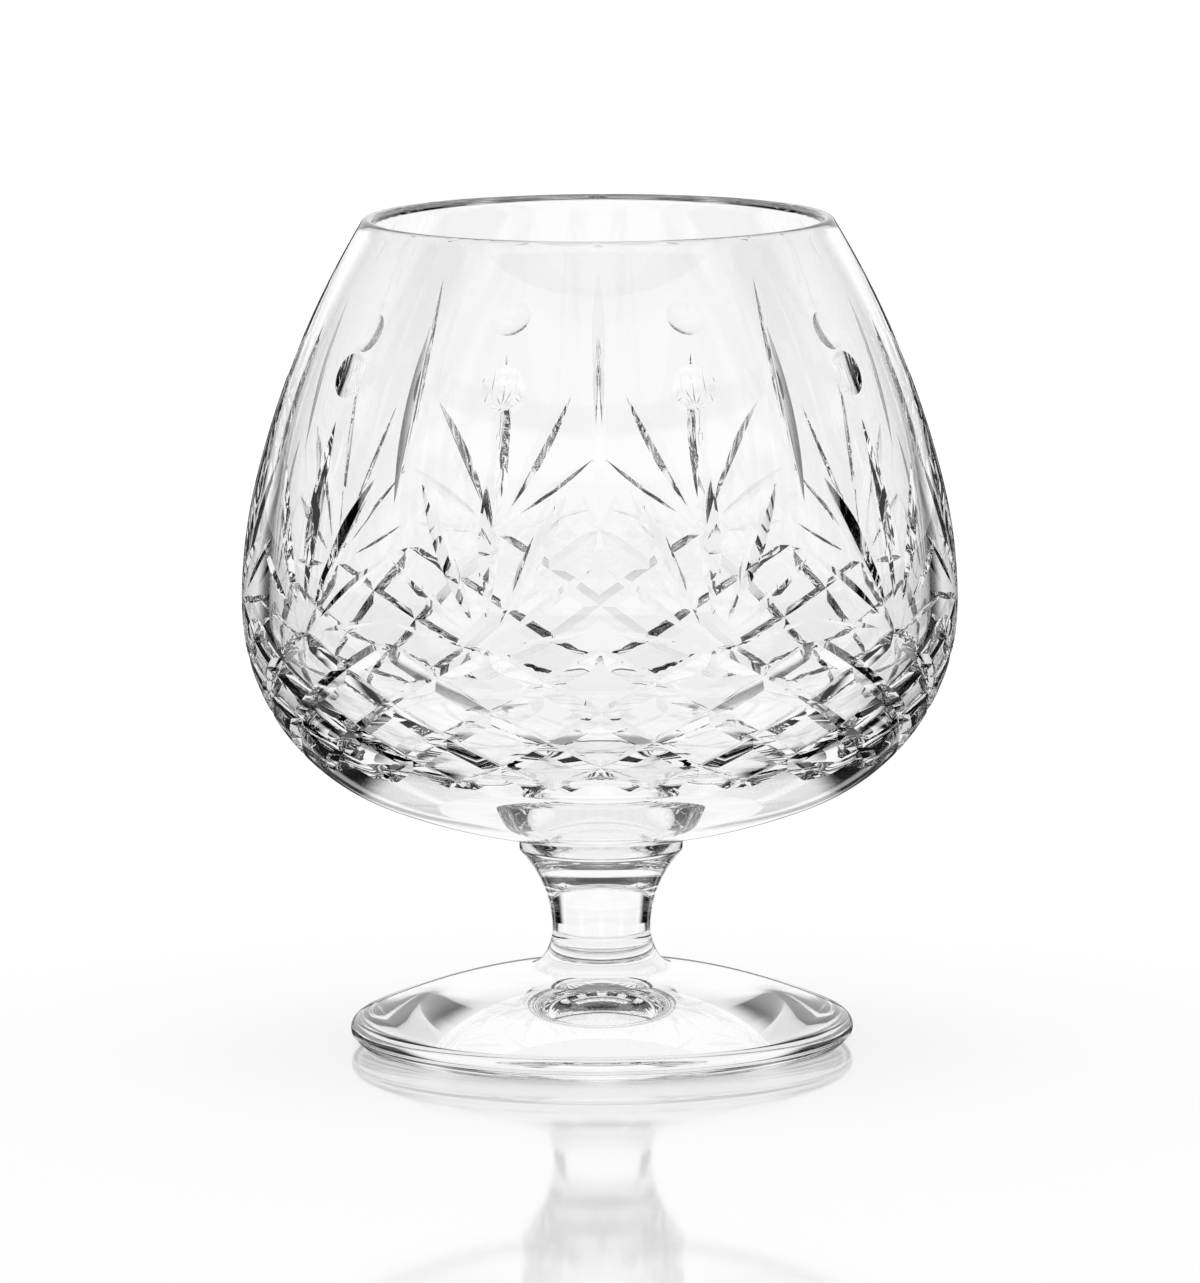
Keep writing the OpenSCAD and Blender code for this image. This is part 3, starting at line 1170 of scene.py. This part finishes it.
@dataclass(frozen=True)
class WhiteTable:
    """White glossy table top that the glass shows as bright ground with soft dark panels.

    Distances are from the axis, in metres. Through the glass the table also shows a painted contact
    shadow beside the foot and painted shade under it.

    Attributes:
        name: Name of the material.
        grey, gloss, index: Brightness, roughness and index of refraction.
        glow: Light of its own that only the camera sees, which makes the ground white.
        low_panels, near_panels: Panels far out and close to the glass, seen through it.
        near: Distances between which the near panels give way to the others.
        foot_edge, edge_soft: Distance at which the table comes out from under the foot, and half
            of the width over which it does.
        painted_shadow_end, painted_shadow_soft: Distance at which the painted contact shadow, a
            dark ring beside the foot, ends, and the width over which it fades.
        painted_shadow_turn, painted_shadow_dark: Cosines of the angle from straight behind between
            which that painted shadow pales, and its darkness at each.
        under_share, painted_shade_under_foot: Share of the panels under the foot, and the painted
            shade that keeps
        the table there from showing quite white.
        mirror_panels: Panels that reflections show.
        mirror, mirror_dark: Distances between which reflections go dark, and the darkest.
    """

    name: str = "white_table"
    grey: float = 0.50
    gloss: float = 0.06
    index: float = 1.55
    glow: float = 0.32
    low_panels: Panels = LOW_PANELS
    near_panels: Panels = Panels(44.0, 5.5, last=104.0)
    near: Point2 = (0.19, 0.22)
    foot_edge: float = 0.0385
    edge_soft: float = 0.001
    painted_shadow_end: float = 0.056
    painted_shadow_soft: float = 0.008
    painted_shadow_turn: Point2 = (0.62, 0.80)
    painted_shadow_dark: Point2 = (0.6, 0.15)
    under_share: float = 0.1
    painted_shade_under_foot: float = 0.08
    mirror_panels: Panels = Panels(26.0, 5.0)
    mirror: Point2 = (0.125, 0.140)
    mirror_dark: float = 0.96

    def material(self) -> Material:
        """Builds the material.

        Returns:
            A glossy white with its own look in the glass and in reflections.
        """
        made = new_material(self.name)
        nodes, links = made.node_tree.nodes, made.node_tree.links
        sums = Formula(made.node_tree)
        shader = nodes["Principled BSDF"]
        set_inputs(shader, {
            "Base Color": (self.grey, self.grey, self.grey, 1.0),
            "Roughness": self.gloss,
            "IOR": self.index,
            "Emission Color": WHITE,
        })
        ray = nodes.new("ShaderNodeLightPath")
        through, glossy = ray.outputs["Is Transmission Ray"], ray.outputs["Is Glossy Ray"]
        lit = sums.do("MULTIPLY", ray.outputs["Is Camera Ray"], self.glow)
        links.new(lit, shader.inputs["Emission Strength"])
        glow = nodes.new("ShaderNodeEmission")
        set_inputs(glow, {"Color": WHITE})
        x, y, _ = sums.place()
        out = sums.do("SQRT", sums.do("ADD", sums.do("MULTIPLY", x, x), sums.do("MULTIPLY", y, y)))
        mirrored = self.mirror_panels.darkness(sums, x, y)
        mirrored = sums.blend(sums.ease(out, *self.mirror), mirrored, 1.0)
        mirrored = sums.do("MULTIPLY", mirrored, self.mirror_dark)
        seen = sums.blend(through, mirrored, self.ground(sums, x, y, out))
        links.new(sums.less(seen), glow.inputs["Strength"])
        mix = nodes.new("ShaderNodeMixShader")
        links.new(sums.do("MAXIMUM", through, glossy), mix.inputs["Fac"])
        links.new(shader.outputs["BSDF"], mix.inputs[1])
        links.new(glow.outputs["Emission"], mix.inputs[2])
        links.new(mix.outputs["Shader"], nodes["Material Output"].inputs["Surface"])
        return made

    def ground(self, sums: Formula, x: Socket, y: Socket, out: Socket) -> Socket:
        """Darkness of the table as it shows through the glass.

        Args:
            sums: Formula of the table's tree.
            x: Place along X.
            y: Place along Y.
            out: Distance from the axis.

        Returns:
            The darkness, from 0 to 1.
        """
        low, near = self.low_panels.darkness(sums, x, y), self.near_panels.darkness(sums, x, y)
        dark = sums.blend(sums.ease(out, *self.near), near, low)
        edge = (self.foot_edge - self.edge_soft, self.foot_edge + self.edge_soft)
        # painted contact shadow: a dark ring on the table beside the foot, darker at the sides than
        # behind
        fade = sums.ease(out, self.painted_shadow_end - self.painted_shadow_soft, self.painted_shadow_end, 1.0, 0.0)
        ring = sums.do("MULTIPLY", sums.ease(out, *edge), fade)
        aside = sums.ease(sums.do("DIVIDE", y, out), *self.painted_shadow_turn, *self.painted_shadow_dark)
        under = sums.ease(out, *edge, self.under_share, 1.0)
        beside, beyond = sums.do("MULTIPLY", ring, aside), sums.do("MULTIPLY", under, dark)
        # painted shade under the foot: the table seen through the foot never shows quite white
        least = sums.ease(out, *edge, self.painted_shade_under_foot, 0.0)
        return sums.do("MAXIMUM", sums.do("MAXIMUM", beside, beyond), least)


@dataclass(frozen=True)
class TentWall:
    """Bright wall round the table, with soft dark panels that draw the glass.

    Attributes:
        name: Name of the material.
        low_panels, high_panels, top_panels: Panels of the wall, from the table up.
        step, crown: Heights in metres between which one ring of panels gives way to the next.
        slot, slot_soft, slot_dark: Heights of the dark slot round the wall, the height over which
            each edge of it fades, and its darkness.
    """

    name: str = "tent_wall"
    low_panels: Panels = LOW_PANELS
    high_panels: Panels = Panels(40.0, soft=0.06)
    top_panels: Panels = Panels(40.0, last=106.0, soft=0.06)
    step: Point2 = (0.045, 0.060)
    crown: Point2 = (0.150, 0.165)
    slot: Point2 = (0.20, 0.24)
    slot_soft: float = 0.01
    slot_dark: float = 0.97

    def material(self) -> Material:
        """Builds the material.

        Returns:
            An even white light, darker on the panels and in the slot.
        """
        made = new_material(self.name)
        nodes, links = made.node_tree.nodes, made.node_tree.links
        nodes.remove(nodes["Principled BSDF"])
        sums = Formula(made.node_tree)
        x, y, z = sums.place()
        dark = self.low_panels.darkness(sums, x, y)
        for heights, panels in ((self.step, self.high_panels), (self.crown, self.top_panels)):
            dark = sums.blend(sums.ease(z, *heights), dark, panels.darkness(sums, x, y))
        low, high = self.slot
        slot = sums.do(
            "MULTIPLY",
            sums.ease(z, low, low + self.slot_soft),
            sums.ease(z, high - self.slot_soft, high, self.slot_dark, 0.0),
        )
        glow = nodes.new("ShaderNodeEmission")
        set_inputs(glow, {"Color": WHITE})
        links.new(sums.less(sums.do("MAXIMUM", dark, slot)), glow.inputs["Strength"])
        links.new(glow.outputs["Emission"], nodes["Material Output"].inputs["Surface"])
        return made


@dataclass
class Studio:
    """White table in a bright tent, soft light and the camera.

    Attributes:
        camera_place: Place of the camera, in metres.
        pitch, roll: Angles by which it looks down and tilts aside, in degrees.
        lens, film: Focal length and height of the film, in mm.
        clip: Nearest and farthest distance that it sees, in metres.
        table_radius, table_drop, table_sides: Radius of the table and its depth below the standing
            ring, in metres, and the steps round it.
        tent_radius, tent_top, tent_sides: Radius and height of the tent, in metres, and the steps
            round it.
        ceiling, ceiling_light: Angles above the horizon between which reflections go dark, in
            degrees, and the light that is left.
        bounces, glossy_bounces: Times that light may pass the glass, and be reflected.
    """

    camera_place: tuple[float, float, float] = (0.0, -1.700, 0.302)
    pitch: float = 8.073
    roll: float = -0.3
    lens: float = 320.3
    film: float = 36.0
    clip: Point2 = (0.01, 100.0)
    table_radius: float = 12.0
    table_drop: float = 0.0003
    table_sides: int = 96
    tent_radius: float = 0.30
    tent_top: float = 0.40
    tent_sides: int = 180
    ceiling: Point2 = (22.0, 36.0)
    ceiling_light: float = 0.04
    bounces: int = 32
    glossy_bounces: int = 16

    def camera(self) -> None:
        """Puts the camera where the photograph was taken from."""
        data = bpy.data.cameras.new("camera")
        data.sensor_fit = "VERTICAL"
        data.sensor_height = self.film
        data.lens = self.lens
        data.clip_start, data.clip_end = self.clip
        eye = bpy.data.objects.new("camera", data)
        turn = Matrix.Rotation(math.radians(90 - self.pitch), 4, "X")
        turn = turn @ Matrix.Rotation(math.radians(self.roll), 4, "Z")
        eye.matrix_world = Matrix.Translation(self.camera_place) @ turn
        bpy.context.scene.collection.objects.link(eye)
        bpy.context.scene.camera = eye

    def floor(self) -> None:
        """Lays the white glossy table top."""
        work = bmesh.new()
        bmesh.ops.create_circle(
            work, cap_ends=True, segments=self.table_sides, radius=self.table_radius,
        )
        bmesh.ops.translate(work, vec=(0.0, 0.0, -self.table_drop), verts=work.verts[:])
        mesh = plain_mesh("floor", work)
        mesh.materials.append(WhiteTable().material())
        new_piece("floor", mesh)

    def tent(self) -> None:
        """Puts up the tent, which only light that passes the glass meets."""
        work = bmesh.new()
        bmesh.ops.create_cone(
            work, segments=self.tent_sides,
            radius1=self.tent_radius, radius2=self.tent_radius, depth=self.tent_top,
        )
        bmesh.ops.translate(work, vec=(0.0, 0.0, self.tent_top / 2), verts=work.verts[:])
        mesh = plain_mesh("tent", work)
        mesh.materials.append(TentWall().material())
        wall = new_piece("tent", mesh)
        wall.visible_camera = False
        wall.visible_diffuse = False
        wall.visible_glossy = False
        wall.visible_shadow = False

    def world(self) -> None:
        """Surrounds the table with soft white light that has a dark ceiling in reflections."""
        world = bpy.data.worlds.new("studio")
        bpy.context.scene.world = world
        world.use_nodes = True
        nodes, links = world.node_tree.nodes, world.node_tree.links
        sums = Formula(world.node_tree)
        shade = nodes["Background"]
        set_inputs(shade, {"Color": WHITE})
        ray = nodes.new("ShaderNodeLightPath")
        up = sums.place("Generated")[2]
        start, end = (math.sin(math.radians(angle)) for angle in self.ceiling)
        ceiling = sums.ease(up, start, end, 1.0, self.ceiling_light)
        lit = sums.blend(ray.outputs["Is Glossy Ray"], 1.0, ceiling)
        links.new(lit, shade.inputs["Strength"])

    def build(self) -> None:
        """Sets up camera, table, light and colour."""
        scene = bpy.context.scene
        self.camera()
        self.floor()
        self.tent()
        self.world()
        scene.view_settings.view_transform = "Standard"
        scene.cycles.max_bounces = self.bounces
        scene.cycles.transmission_bounces = self.bounces
        scene.cycles.transparent_max_bounces = self.bounces
        scene.cycles.glossy_bounces = self.glossy_bounces
        LOG.info("studio set: table, tent, light and camera")


def main() -> None:
    """Builds the glass piece by piece, then the studio round it."""
    logging.basicConfig(level=logging.INFO, format="%(name)s: %(message)s")
    joint = FusedJoint().material()
    CutBowl().build(Crystal("cut_crystal").material(), joint)
    Stem().build(Crystal("stem_crystal").material(), joint)
    Foot().build(Crystal("foot_crystal").material(), joint)
    Studio().build()


if __name__ == "__main__":
    main()
